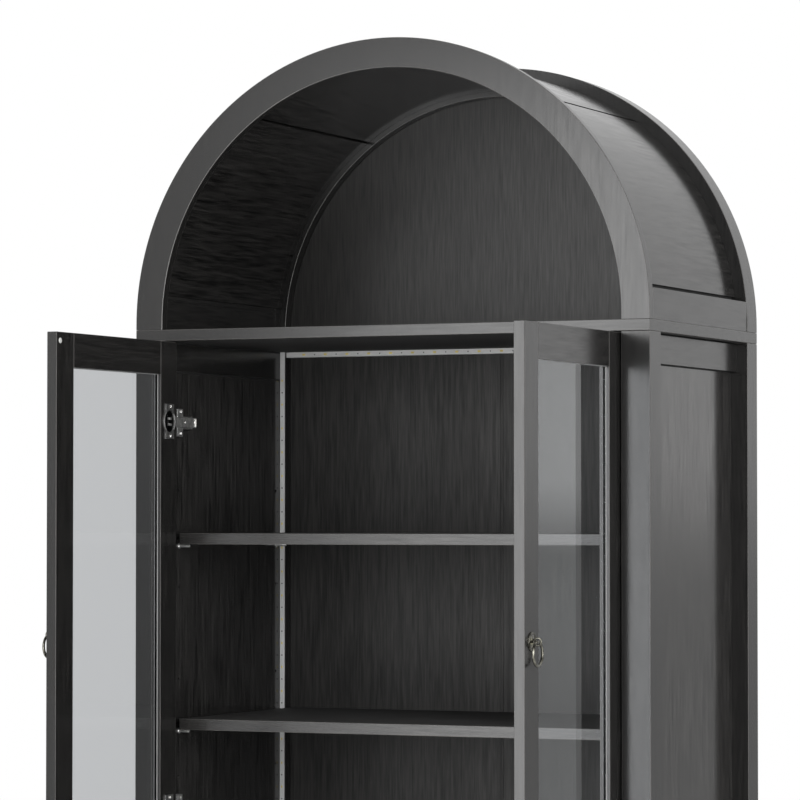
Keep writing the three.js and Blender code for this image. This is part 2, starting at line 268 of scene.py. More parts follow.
def hoop(radius: float, wire: Array, steps: int = 72, around: int = 14) -> Solid:
    """A ring of round wire about the Z axis, whose thickness may change along it.

    point = ((radius + w cos b) cos a, (radius + w cos b) sin a, w sin b), with w the wire's radius at a.

    Args:
        radius: middle radius of the ring.
        wire: wire radius at each of the steps, or one number.
        steps: facets along the ring.
        around: facets round the wire.

    Returns:
        The closed solid.
    """
    a, b = full_turn(steps)[:, None], full_turn(around)[None]
    w = np.broadcast_to(np.asarray(wire, float).reshape(-1, 1), (steps, 1))
    reach = radius + w * np.cos(b)
    return tube(rows(reach * np.cos(a), reach * np.sin(a), w * np.sin(b)), closed=True)


def screw_head(radius: float, rise: float, recess: float) -> Solid:
    """A domed screw head with a cross recess, standing on Z = 0.

    The dome is rise * (1 - (r / radius)^2.4); the recess is taken off where the point lies within a
    slot of either arm of the cross and inside half of the radius.

    Args:
        radius: radius of the head.
        rise: height of the dome.
        recess: depth of the cross.

    Returns:
        The closed head.
    """
    steps = 40
    angle = full_turn(steps)
    r = radius * np.r_[0.06, np.linspace(0.16, 0.66, 9), 0.8, 0.92, 0.985, 1.0, 1.0]
    x, y = r[:, None] * np.cos(angle), r[:, None] * np.sin(angle)
    dome = rise * (1 - np.clip(r / radius, 0, 1) ** 2.4)[:, None] + 0 * angle
    arm = np.minimum(np.abs(x), np.abs(y)) / (0.13 * radius)
    reach = np.clip((0.56 - r[:, None] / radius) / 0.06, 0, 1)
    z = dome + 0.25 * rise - recess * np.clip(1.6 - arm, 0, 1) * reach
    z[-1] = 0.0
    return tube(rows(x, y, z))


def swept_bar(path: Array, width: Array, thick: float, up: Triple = (0, 0, 1)) -> Solid:
    """A flat bar carried along a path that stays square to `up`.

    At each station the section's corners are path +/- up * width / 2 +/- side * thick / 2, where side is
    the level direction square to the path, with eased corners.

    Args:
        path: (n, 3) stations.
        width: (n,) height of the bar along `up`.
        thick: thickness of the bar.
        up: direction of the bar's height.

    Returns:
        The closed bar.
    """
    ahead = np.gradient(path, axis=0)
    side = np.cross(ahead, np.array(up, float))
    side /= np.linalg.norm(side, axis=1, keepdims=True)
    outline, _ = eased_outline((-0.5, 0.5), (-0.5, 0.5), 0.12, 2)
    high = outline[None, :, :1] * np.asarray(width)[:, None, None] * np.array(up, float)
    wide = outline[None, :, 1:] * thick * side[:, None, :]
    return tube(path[:, None, :] + high + wide)


# Finishes -----------------------------------------------------------------


class Recipe:
    """Builds the node tree of a material or of the surround."""

    def __init__(self, owner: bpy.types.ID, output: str = "OutputMaterial") -> None:
        """Starts with an empty tree.

        Args:
            owner: the material or world that the tree belongs to.
            output: type of the tree's output node.
        """
        self.owner = owner
        self.owner.use_nodes = True
        self.owner.node_tree.nodes.clear()
        self.output = self.add(output)

    def add(self, kind: str, settings: dict | None = None, **sockets) -> bpy.types.Node:
        """Adds a node.

        Args:
            kind: the node's type after "ShaderNode".
            settings: properties of the node.
            **sockets: inputs by name, with _ for a space: a number, a tuple or another node's output.

        Returns:
            The new node.
        """
        node = self.owner.node_tree.nodes.new("ShaderNode" + kind)
        for key, value in (settings or {}).items():
            setattr(node, key, value)
        for key, value in sockets.items():
            self.feed(node.inputs[key.replace("_", " ")], value)
        return node

    def feed(self, socket: Socket, value) -> None:
        """Links an output to a socket, or sets the socket's own value."""
        if isinstance(value, Socket):
            self.owner.node_tree.links.new(value, socket)
        else:
            socket.default_value = value

    def noise(
        self, stretch: Triple, seed: float, detail: float = 3.0, rough: float = 0.55, warp: float = 0.0
    ) -> Socket:
        """Fractal noise on the object's own coordinates.

        Args:
            stretch: repeats per metre on X, Y and Z.
            seed: moves the pattern, so that two finishes differ.
            detail: octaves.
            rough: weight of the finer octaves.
            warp: how far the pattern wanders.

        Returns:
            The noise value, about 0.5 on average.
        """
        coords = self.add("TexCoord").outputs["Object"]
        place = self.add("Mapping", Vector=coords, Scale=stretch, Location=(seed, seed * 1.7, seed * 0.6))
        pattern = {"Scale": 1.0, "Detail": detail, "Roughness": rough, "Distortion": warp}
        return self.add("TexNoise", Vector=place.outputs[0], **pattern).outputs[0]

    def spread(self, value, low: float, high: float, between: Pair = (0.3, 0.7)) -> Socket:
        """Maps a value's usual range to low..high."""
        limits = {"From_Min": between[0], "From_Max": between[1], "To_Min": low, "To_Max": high}
        return self.add("MapRange", Value=value, **limits).outputs[0]

    def arithmetic(self, operation: str, *values) -> Socket:
        """One step of arithmetic."""
        node = self.add("Math", {"operation": operation})
        for socket, value in zip(node.inputs, values):
            self.feed(socket, value)
        return node.outputs[0]

    def blend(self, share, one, other) -> Socket:
        """A colour between two, at a share from 0 to 1."""
        node = self.add("Mix", {"data_type": "RGBA"})
        self.feed(node.inputs[0], share)
        self.feed(node.inputs[6], one)
        self.feed(node.inputs[7], other)
        return node.outputs[2]

    def weigh(self, one, other, share) -> Socket:
        """A number between two, at a share from 0 to 1."""
        return self.add("Mix", {"data_type": "FLOAT"}, Factor=share, A=one, B=other).outputs[0]

    def bump(self, height, depth: float) -> Socket:
        """A normal tilted by a height map whose full step is `depth` metres."""
        return self.add("Bump", Height=height, Distance=depth, Strength=1.0).outputs[0]

    def layered(self, share: Socket, under: bpy.types.Node, over: bpy.types.Node) -> bpy.types.Node:
        """One shader over another, at a share from 0 to 1."""
        node = self.add("MixShader")
        for socket, value in zip(node.inputs, (share, under.outputs[0], over.outputs[0])):
            self.feed(socket, value)
        return node

    def finish(self, shader: bpy.types.Node) -> bpy.types.ID:
        """Joins the shader to the output and returns the tree's owner."""
        self.feed(self.output.inputs["Surface"], shader.outputs[0])
        return self.owner


def tone(level: float, warmth: float = 0.0) -> tuple[float, float, float, float]:
    """A near-neutral linear colour: `level` with red raised and blue lowered by the share `warmth`."""
    return (level * (1 + warmth), level, level * (1 - warmth), 1.0)


@dataclass(frozen=True)
class Finish:
    """What every finish has: its name, the record's slot, and a material made once."""

    name: str
    slot: str

    def material(self) -> bpy.types.Material:
        """The finish's material, built on first use."""
        return bpy.data.materials.get(self.name) or self.build()

    def build(self) -> bpy.types.Material:
        """Builds the material."""
        raise NotImplementedError


@dataclass(frozen=True)
class StainedOak(Finish):
    """Oak under black stain and satin lacquer: long soft figure, short pores, and a fine bump."""

    grain: Grain = Grain.UPRIGHT
    level: float = 0.009
    contrast: float = 0.5
    figure: float = 7.0
    pores: float = 17.0
    roughness: float = 0.2
    relief: float = 0.035 * MM
    seed: float = 0.0
    warp: float = 0.2
    gloss: float = 0.5
    matt_faces: bool = False
    matt: float = 0.62

    def build(self) -> bpy.types.Material:
        """Figure and pores are two noises stretched along the grain; the pores are darker and rougher.

        On boards with matt faces the level faces keep only the stain, and the edges are lacquered.
        """
        mix = Recipe(bpy.data.materials.new(self.name))
        along = np.array(self.grain.value)
        figure = mix.noise(tuple(along * self.figure), self.seed + 3.1, 3.0, 0.6, self.warp)
        pores = mix.noise(tuple(along * self.pores), self.seed + 7.7, 2.0, 0.5, 0.1)
        shade = mix.weigh(figure, pores, 0.6)
        share = mix.spread(shade, 0.0, 1.0, (0.36, 0.66))
        dark = tone(self.level * (1 - self.contrast), 0.02)
        light = tone(self.level * (1 + self.contrast), 0.04)
        roughness = mix.spread(shade, self.roughness + 0.06, self.roughness - 0.04)
        if self.matt_faces:
            normal = mix.add("NewGeometry").outputs["True Normal"]
            upright = mix.add("SeparateXYZ", Vector=normal).outputs["Z"]
            roughness = mix.weigh(roughness, self.matt, mix.arithmetic("ABSOLUTE", upright))
        shader = mix.add(
            "BsdfPrincipled",
            Base_Color=mix.blend(share, dark, light),
            Roughness=roughness,
            Specular_IOR_Level=self.gloss,
            Normal=mix.bump(pores, self.relief),
        )
        return mix.finish(shader)


@dataclass(frozen=True)
class WornEdgeAndHighlight(Finish):
    """The eased edges of the oak: lacquer worn smooth, with the wood's brown showing in patches, and the
    whole edge tone far lighter than the oak as a painted highlight.
    """

    level: float = 0.05
    seed: float = 0.0

    def build(self) -> bpy.types.Material:
        """Patches of rubbed wood from a coarse noise broken by a fine one; both tones sit well above the
        oak's as a painted edge highlight.
        """
        mix = Recipe(bpy.data.materials.new(self.name))
        patches = mix.noise((9.0, 9.0, 9.0), self.seed + 1.9, 5.0, 0.7, 0.4)
        specks = mix.noise((420.0, 420.0, 160.0), self.seed + 5.3, 2.0)
        wear_and_highlight = mix.spread(mix.weigh(patches, specks, 0.3), 0.0, 1.0, (0.38, 0.7))
        shader = mix.add(
            "BsdfPrincipled",
            Base_Color=mix.blend(wear_and_highlight, tone(self.level * 0.6, 0.02), tone(self.level * 1.5, 0.06)),
            Roughness=mix.spread(patches, 0.4, 0.27),
            Normal=mix.bump(specks, 0.05 * MM),
        )
        return mix.finish(shader)


@dataclass(frozen=True)
class PaneGlass(Finish):
    """Float glass with a faint grey tint: clear head on, mirror-like at a low angle, with wipe marks."""

    tint: float = 0.985

    def build(self) -> bpy.types.Material:
        """Share of mirror = 0.04 + 0.96 * facing^5 (Schlick), the rest passes through the tint."""
        mix = Recipe(bpy.data.materials.new(self.name))
        facing = mix.add("LayerWeight", Blend=0.5).outputs["Facing"]
        share = mix.spread(mix.arithmetic("POWER", facing, 5.0), 0.04, 1.0, WHOLE)
        wipes = mix.noise((14.0, 5.0, 9.0), 2.4, 5.0, 0.65, 1.2)
        clear = mix.add("BsdfTransparent", Color=tone(self.tint, -0.01))
        wiped = mix.spread(wipes, 0.01, 0.02)
        mirror = mix.add("BsdfGlossy", Color=(0.96, 0.97, 0.97, 1.0), Roughness=wiped)
        return mix.finish(mix.layered(share, clear, mirror))


@dataclass(frozen=True)
class CastMetal(Finish):
    """Bare or plated metal: brushed marks, cloudy tarnish, and painted shade in hollows."""

    colour: Triple = (0.84, 0.84, 0.83)
    dull: Triple = (0.5, 0.5, 0.49)
    roughness: float = 0.26
    brush: Triple = (900.0, 900.0, 120.0)
    seed: float = 0.0
    painted_shade_beyond: float = 0.0

    def build(self) -> bpy.types.Material:
        """Tarnish from a cloudy noise, brush marks from a stretched one.

        Where a reach from the cabinet's middle plane is set, what lies further out than that is painted dark
        as shade in the hollow: share of painted shade = (|x| - reach) / 1.5 mm, held between 0 and 1.
        """
        mix = Recipe(bpy.data.materials.new(self.name))
        cloud = mix.noise((110.0, 110.0, 110.0), self.seed + 4.2, 4.0, 0.6)
        marks = mix.noise(self.brush, self.seed + 8.8, 2.0)
        base = mix.blend(mix.spread(cloud, 0.0, 1.0, (0.36, 0.62)), (*self.dull, 1.0), (*self.colour, 1.0))
        if self.painted_shade_beyond > 0:
            # Painted shade: past the set reach from the middle plane the colour turns near-black, standing
            # in for shade in the hollow.
            across = mix.add("SeparateXYZ", Vector=mix.add("TexCoord").outputs["Object"]).outputs["X"]
            depth = mix.spread(
                mix.arithmetic("ABSOLUTE", across), 0.0, 1.0, (self.painted_shade_beyond, self.painted_shade_beyond + 1.5 * MM)
            )
            base = mix.blend(depth, base, tone(0.02))
        shader = mix.add(
            "BsdfPrincipled",
            Metallic=1.0,
            Base_Color=base,
            Roughness=mix.spread(mix.weigh(cloud, marks, 0.5), self.roughness + 0.12, self.roughness - 0.05),
            Normal=mix.bump(marks, 0.02 * MM),
        )
        return mix.finish(shader)


@dataclass(frozen=True)
class Moulded(Finish):
    """Moulded plastic or paint: a plain colour with a fine texture and slight unevenness."""

    colour: Triple = (0.02, 0.02, 0.021)
    uneven: float = 0.25
    roughness: float = 0.5
    texture: float = 1400.0
    relief: float = 0.04 * MM
    seed: float = 0.0

    def build(self) -> bpy.types.Material:
        """Unevenness from a broad noise, surface texture from a fine one."""
        mix = Recipe(bpy.data.materials.new(self.name))
        broad = mix.noise((30.0, 30.0, 30.0), self.seed + 6.6, 3.0)
        fine = mix.noise((self.texture,) * 3, self.seed + 2.7, 2.0)
        dark, light = (tuple(c * (1 + way * self.uneven) for c in self.colour) + (1.0,) for way in (-1, 1))
        shader = mix.add(
            "BsdfPrincipled",
            Base_Color=mix.blend(mix.spread(broad, 0.0, 1.0), dark, light),
            Roughness=mix.spread(fine, self.roughness - 0.06, self.roughness + 0.08),
            Normal=mix.bump(fine, self.relief),
        )
        return mix.finish(shader)


OAK = StainedOak("black_oak_upright", "black_oak")
OAK_ACROSS = replace(OAK, name="black_oak_across", grain=Grain.ACROSS, seed=21.0, matt_faces=True)
OAK_DEEP = replace(OAK, name="black_oak_deep", grain=Grain.DEEP, seed=37.0)
OAK_SHELF = replace(OAK_ACROSS, name="black_oak_shelf", seed=44.0, roughness=0.26, level=0.02)
OAK_SKIN = replace(
    OAK, name="black_oak_bent_skin", grain=Grain.DEEP, seed=52.0, figure=3.0, pores=12.0, contrast=0.85,
    warp=1.6, roughness=0.16, level=0.01, relief=0.015 * MM, gloss=0.42,
)
# The inside panels, the arch back and the back boards have their level raised above the outer oak as painted
# fill light for the dim interior.
OAK_INNER_PAINTED_FILL = replace(
    OAK, name="black_oak_panel_painted_fill", seed=63.0, level=0.016, roughness=0.14, contrast=0.8, relief=0.015 * MM
)
OAK_ARCH_BACK_PAINTED_FILL = replace(OAK, name="black_oak_arch_back", seed=66.0, roughness=0.34, level=0.016, gloss=0.32)
# The eased edges are partly worn lacquer and partly a painted highlight: their tone is several times lighter
# than the oak.
WORN_EDGE_AND_HIGHLIGHT = WornEdgeAndHighlight("worn_and_highlit_oak_edge", "black_oak")
BACK_BOARD_PAINTED_FILL = StainedOak("black_back_board_painted_fill", "back_board", seed=71.0, roughness=0.42, level=0.02, gloss=0.2)
GLASS = PaneGlass("door_pane", "door_glass")
STEEL = CastMetal("nickel_plating", "plated_steel", roughness=0.42)
SCREW_STEEL = CastMetal("screw_steel", "plated_steel", colour=(0.5, 0.49, 0.47), roughness=0.3, seed=9.0)
BRONZE = CastMetal(
    "dark_bronze_casting", "aged_bronze", colour=(0.2, 0.195, 0.165), dull=(0.025, 0.024, 0.02),
    roughness=0.2, brush=(300.0, 300.0, 300.0), seed=14.0,
)
BRIGHT_STEEL = CastMetal(
    "bright_steel_edge", "plated_steel", colour=(0.95, 0.95, 0.94), roughness=0.16, seed=17.0
)
# The cup's bowl, sunk into the door past 339.2 mm from the middle plane, is painted near-black as shade.
CUP_STEEL = CastMetal(
    "hinge_cup_steel", "plated_steel", colour=(0.5, 0.5, 0.49), dull=(0.25, 0.25, 0.25), roughness=0.4,
    seed=19.0, painted_shade_beyond=339.2 * MM
)
DIFFUSER = Moulded(
    "light_strip_diffuser", "led_strip", colour=(0.53, 0.53, 0.525), uneven=0.06, roughness=0.42
)
GASKET = Moulded(
    "glazing_gasket", "black_plastic", colour=(0.15, 0.15, 0.15), uneven=0.1, relief=0.005 * MM, seed=23.0
)
PHOSPHOR = Moulded("light_chip", "led_strip", colour=(0.62, 0.5, 0.14), uneven=0.2, roughness=0.35, seed=3.0)
SOLDER = Moulded("light_strip_dot", "led_strip", colour=(0.035, 0.035, 0.035), roughness=0.4, seed=5.0)
PLASTIC = Moulded("black_moulding", "black_plastic")
SOFT_BUMPER = Moulded(
    "clear_bumper", "black_plastic", colour=(0.32, 0.32, 0.31), uneven=0.1, roughness=0.28, seed=8.0
)
# Near-black strips set into open seams and joints stand in for the shade inside them: painted shade.
SHADOW_GAP = Moulded("painted_shade_strip", "black_plastic", colour=(0.006, 0.006, 0.006), roughness=0.85, seed=12.0)


# Making pieces ------------------------------------------------------------


def piece(name: str, solid: Solid, body: str, *finishes: Finish, crease: float = 35.0) -> bpy.types.Object:
    """Puts a solid into a mesh object that rides on a body.

    Args:
        name: name of the piece.
        solid: its shape.
        body: the body that it moves with.
        *finishes: the finish of each material slot.
        crease: edges sharper than this many degrees stay crisp.

    Returns:
        The new object.
    """
    obj = loose_piece(name, solid, *finishes, crease=crease)
    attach(obj, body)
    return obj


def loose_piece(name: str, solid: Solid, *finishes: Finish, crease: float = 35.0) -> bpy.types.Object:
    """The same as `piece`, before it is given a body."""
    mesh = bpy.data.meshes.new(name)
    mesh.from_pydata(solid.points.tolist(), [], solid.quads.tolist() + [list(cap) for cap in solid.caps])
    slots = np.r_[solid.tints, np.zeros(len(solid.caps), int)].astype(np.int32)
    mesh.polygons.foreach_set("material_index", np.minimum(slots, len(finishes) - 1))
    mesh.polygons.foreach_set("use_smooth", np.ones(len(mesh.polygons), bool))
    mesh.set_sharp_from_angle(angle=math.radians(crease))
    mesh.validate()
    for finish in finishes:
        mesh.materials.append(finish.material())
    obj = bpy.data.objects.new(name, mesh)
    bpy.context.scene.collection.objects.link(obj)
    LOG.info("piece %s: %d faces", name, len(mesh.polygons))
    return obj


def dress(node: str, finish: Finish, ease: float = 0.0, edge: Finish = WORN_EDGE_AND_HIGHLIGHT) -> bpy.types.Object:
    """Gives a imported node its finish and, where asked, eased edges in a finish of their own.

    Args:
        node: the node's name.
        finish: its finish.
        ease: width of the eased edge, 0 for none.
        edge: finish of the eased edges.

    Returns:
        The node's object.
    """
    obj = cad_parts[node]
    obj.data.materials.clear()
    obj.data.materials.append(finish.material())
    if ease > 0:
        obj.data.materials.append(edge.material())
        weld = obj.modifiers.new("weld", "WELD")
        weld.merge_threshold = 0.01 * MM
        bevel = obj.modifiers.new("eased_edges", "BEVEL")
        bevel.width = ease
        bevel.segments = 2
        bevel.limit_method = "ANGLE"
        bevel.angle_limit = math.radians(40)
        bevel.material = 1
    LOG.info("dressed %s in %s", node, finish.name)
    return obj


def span(node: str) -> tuple[Array, Array]:
    """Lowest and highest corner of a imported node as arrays."""
    low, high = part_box(node)
    return np.array(low), np.array(high)


# Sub-assemblies -----------------------------------------------------------


@dataclass
class ArchCrown:
    """The open arch: two rings, the bent skin between them in three stretches, base rails and back."""

    ease: float = 0.8 * MM
    ring_steps: int = 120
    skin_steps: int = 72
    seam_angle: float = 54.0
    seam: float = 4.6 * MM
    foot_lift: float = 2.2 * MM
    batten_depth: float = 3.0 * MM
    gap: float = 0.3 * MM

    def build(self) -> None:
        """Builds the rings and the skin and dresses the flat pieces."""
        _, high = span("front_arch_ring")
        self.centre_z = high[2] - high[0]
        self.outer = high[0]
        self.inner = span("arch_back_panel")[1][0] + self.gap
        for end in ("front", "rear"):
            self.ring(f"{end}_arch_ring", f"{end}_ring_face")
        self.skin()
        self.battens()
        for side in Side:
            dress(f"arch_base_rail_{side.word}", OAK_DEEP, self.ease)
        dress("arch_back_panel", OAK_ARCH_BACK_PAINTED_FILL)

    def arched(self, section: Array, angles: Array, drop: Array | float = 0.0) -> Array:
        """Rings of a section carried round the arch.

        A section point (r, y) at angle a goes to (r cos a, y, centre + r sin a - drop).

        Args:
            section: (k, 2) radius and Y.
            angles: (n, k) or (n, 1) angle of each point.
            drop: (n, 1) how far a station lies below the half circle.

        Returns:
            (n, k, 3) points.
        """
        r = section[None, :, 0]
        x = r * np.cos(angles)
        z = self.centre_z + r * np.sin(angles) - drop
        return np.stack([x, np.broadcast_to(section[None, :, 1], x.shape), z], axis=-1)

    def ring(self, node: str, name: str) -> None:
        """A ring of rectangular section: a half circle on two short straight feet."""
        low, high = span(node)
        outline, slots = eased_outline((self.inner, self.outer), (low[1], high[1]), self.ease)
        angles = np.r_[0.0, np.linspace(0, math.pi, self.ring_steps + 1), math.pi][:, None]
        drop = np.zeros_like(angles)
        drop[[0, -1]] = self.centre_z - low[2]
        solid = tube(self.arched(outline, angles, drop), tints=slots)
        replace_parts(piece(name, solid, "cabinet", OAK, WORN_EDGE_AND_HIGHLIGHT, crease=CRISP), node)

    def skin(self) -> None:
        """Three bent stretches: the lower ends sit level on the base rails, the others meet at the seams."""
        inner, outer = span("arch_base_rail_right")[0][0], span("side_top_rail_right")[1][0]
        low, high = span("arch_skin_top")
        outline, slots = eased_outline((inner, outer), (low[1], high[1]), 0.4 * MM, 2)
        r = outline[:, 0]
        seat = np.arcsin((span("arch_skin_right")[0][2] + self.foot_lift - self.centre_z) / r)
        cut = self.seam / 2 / r
        seam = math.radians(self.seam_angle)
        ends = {
            "right": (seat, seam - cut),
            "top": (seam + cut, math.pi - seam - cut),
            "left": (math.pi - seam + cut, math.pi - seat),
        }
        share = np.linspace(0, 1, self.skin_steps + 1)[:, None]
        for where, (start, end) in ends.items():
            angles = start[None] + (end - start)[None] * share
            solid = tube(self.arched(outline, angles), tints=slots)
            bent = piece(f"bent_skin_{where}", solid, "cabinet", OAK_SKIN, WORN_EDGE_AND_HIGHLIGHT, crease=CRISP)
            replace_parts(bent, f"arch_skin_{where}")
        self.skin_inner, self.skin_outer, self.skin_y = inner, outer, (low[1], high[1])

    def battens(self) -> None:
        """Near-black strips as painted shade, set back in each seam of the skin and outside the joints at
        its feet, and oak fillets inside those joints.
        """
        middle = (self.skin_inner + self.skin_outer) / 2
        half = self.batten_depth / 2
        outline, _ = eased_outline((middle - half, middle + half), self.skin_y, 0.2 * MM, 2)
        reach = (self.seam / 2 - CLEAR) / middle
        inside = (self.skin_inner + 0.1 * MM, middle - half)
        outside = (middle - half + self.gap, middle + half)
        for side, degrees in ((Side.RIGHT, self.seam_angle), (Side.LEFT, 180 - self.seam_angle)):
            angle, word = math.radians(degrees), side.word
            strip = tube(self.arched(outline, np.array([[angle - reach], [angle + reach]])))
            piece(f"seam_batten_{word}", strip, "cabinet", SHADOW_GAP, crease=CRISP)
            rail_top = span(f"arch_base_rail_{word}")[1][2]
            foot = span(f"arch_skin_{word}")[0][2] + self.foot_lift
            joint = (rail_top + CLEAR, foot - CLEAR)
            self.foot_strip(f"foot_fillet_{word}", side, inside, joint, OAK_DEEP)
            self.foot_strip(f"foot_batten_{word}", side, outside, joint, SHADOW_GAP)

    def foot_strip(self, name: str, side: Side, reach: Pair, z: Pair, finish: Finish) -> None:
        """A strip in the joint under one end of the skin.

        Args:
            name: name of the piece.
            side: side of the cabinet.
            reach: distances of its two faces from the cabinet's middle plane.
            z: heights of its underside and top.
            finish: its finish.
        """
        x = sorted(side.value * r for r in reach)
        strip = eased_block((x[0], self.skin_y[0], z[0]), (x[1], self.skin_y[1], z[1]), 0.3 * MM, 2)
        piece(name, strip, "cabinet", finish, crease=CRISP)


@dataclass
class Carcass:
    """Boards, posts, rails and panels of the glazed part."""

    ease: float = 0.7 * MM
    batten_inset: float = 1.0 * MM

    def build(self) -> None:
        """Dresses every board with the grain it has."""
        for name in ("mid_board", "bottom_board", "toe_rail"):
            dress(name, OAK_ACROSS, self.ease)
        for side in Side:
            for row in ("front", "rear"):
                dress(f"{row}_{side.word}_post", OAK, self.ease)
            dress(f"side_top_rail_{side.word}", OAK_DEEP, self.ease)
            dress(f"side_bottom_rail_{side.word}", OAK_DEEP, self.ease)
            dress(f"side_panel_{side.word}", OAK_INNER_PAINTED_FILL)
            dress(f"back_panel_{side.word}", BACK_BOARD_PAINTED_FILL)
        dress("back_joint_strip", BACK_BOARD_PAINTED_FILL, 0.4 * MM, BACK_BOARD_PAINTED_FILL)
        for side in Side:
            self.battens(side)

    def battens(self, side: Side) -> None:
        """Near-black strips as painted shade behind the open joints above and below the panel of one side.
        """
        panel, rail = span(f"side_panel_{side.word}"), span(f"side_top_rail_{side.word}")
        foot, board = span(f"side_bottom_rail_{side.word}"), span("mid_board")
        joints = ((rail[1][2], board[0][2]), (panel[1][2], rail[0][2]), (foot[1][2], panel[0][2]))
        near, far = sorted((panel[0][0], panel[1][0]))
        x = (near + self.batten_inset, far - self.batten_inset)
        y = (panel[0][1], panel[1][1])
        strips = [
            eased_block((x[0], y[0], low + CLEAR), (x[1], y[1], high - CLEAR), 0.3 * MM, 2)
            for low, high in joints
        ]
        piece(f"joint_battens_{side.word}", together(*strips), "cabinet", SHADOW_GAP, crease=CRISP)


@dataclass
class Shelving:
    """Four loose shelves, each on four turned pins."""

    count: int = 4
    ease: float = 0.7 * MM
    pin_radius: float = 2.4 * MM
    collar_radius: float = 4.2 * MM
    pin_rows: Pair = (14.5 * MM, 336.5 * MM)

    def build(self) -> None:
        """Dresses the shelves and stands each on its pins."""
        wall = span("side_panel_right")[0][0]
        for number in range(1, self.count + 1):
            name = f"shelf_{number}"
            dress(name, OAK_SHELF, self.ease)
            low, _ = span(name)
            pins = [self.pin(side, wall, y, low[2]) for side in Side for y in self.pin_rows]
            piece(f"{name}_pins", together(*pins), "cabinet", STEEL)
            LOG.info("shelf %d rests at %.3f", number, low[2])

    def pin(self, side: Side, wall: float, y: float, under: float) -> Solid:
        """A pin with a collar against the panel, its shank level with the shelf's underside.

        The profile runs from the panel inwards: collar, step, shank, and a rounded tip.
        """
        r, c = self.pin_radius, self.collar_radius
        profile = np.array([
            (c * 0.97, 0.1 * MM), (c, 0.35 * MM), (c, 1.5 * MM), (c * 0.9, 1.9 * MM), (r, 2.0 * MM),
            (r, 17.0 * MM), (r * 0.9, 17.8 * MM), (r * 0.6, 18.3 * MM), (r * 0.2, 18.5 * MM),
        ])
        s = side.value
        origin = (s * wall, y, under - r)
        return lathed(profile, 20).moved(origin, **sideways(-s))


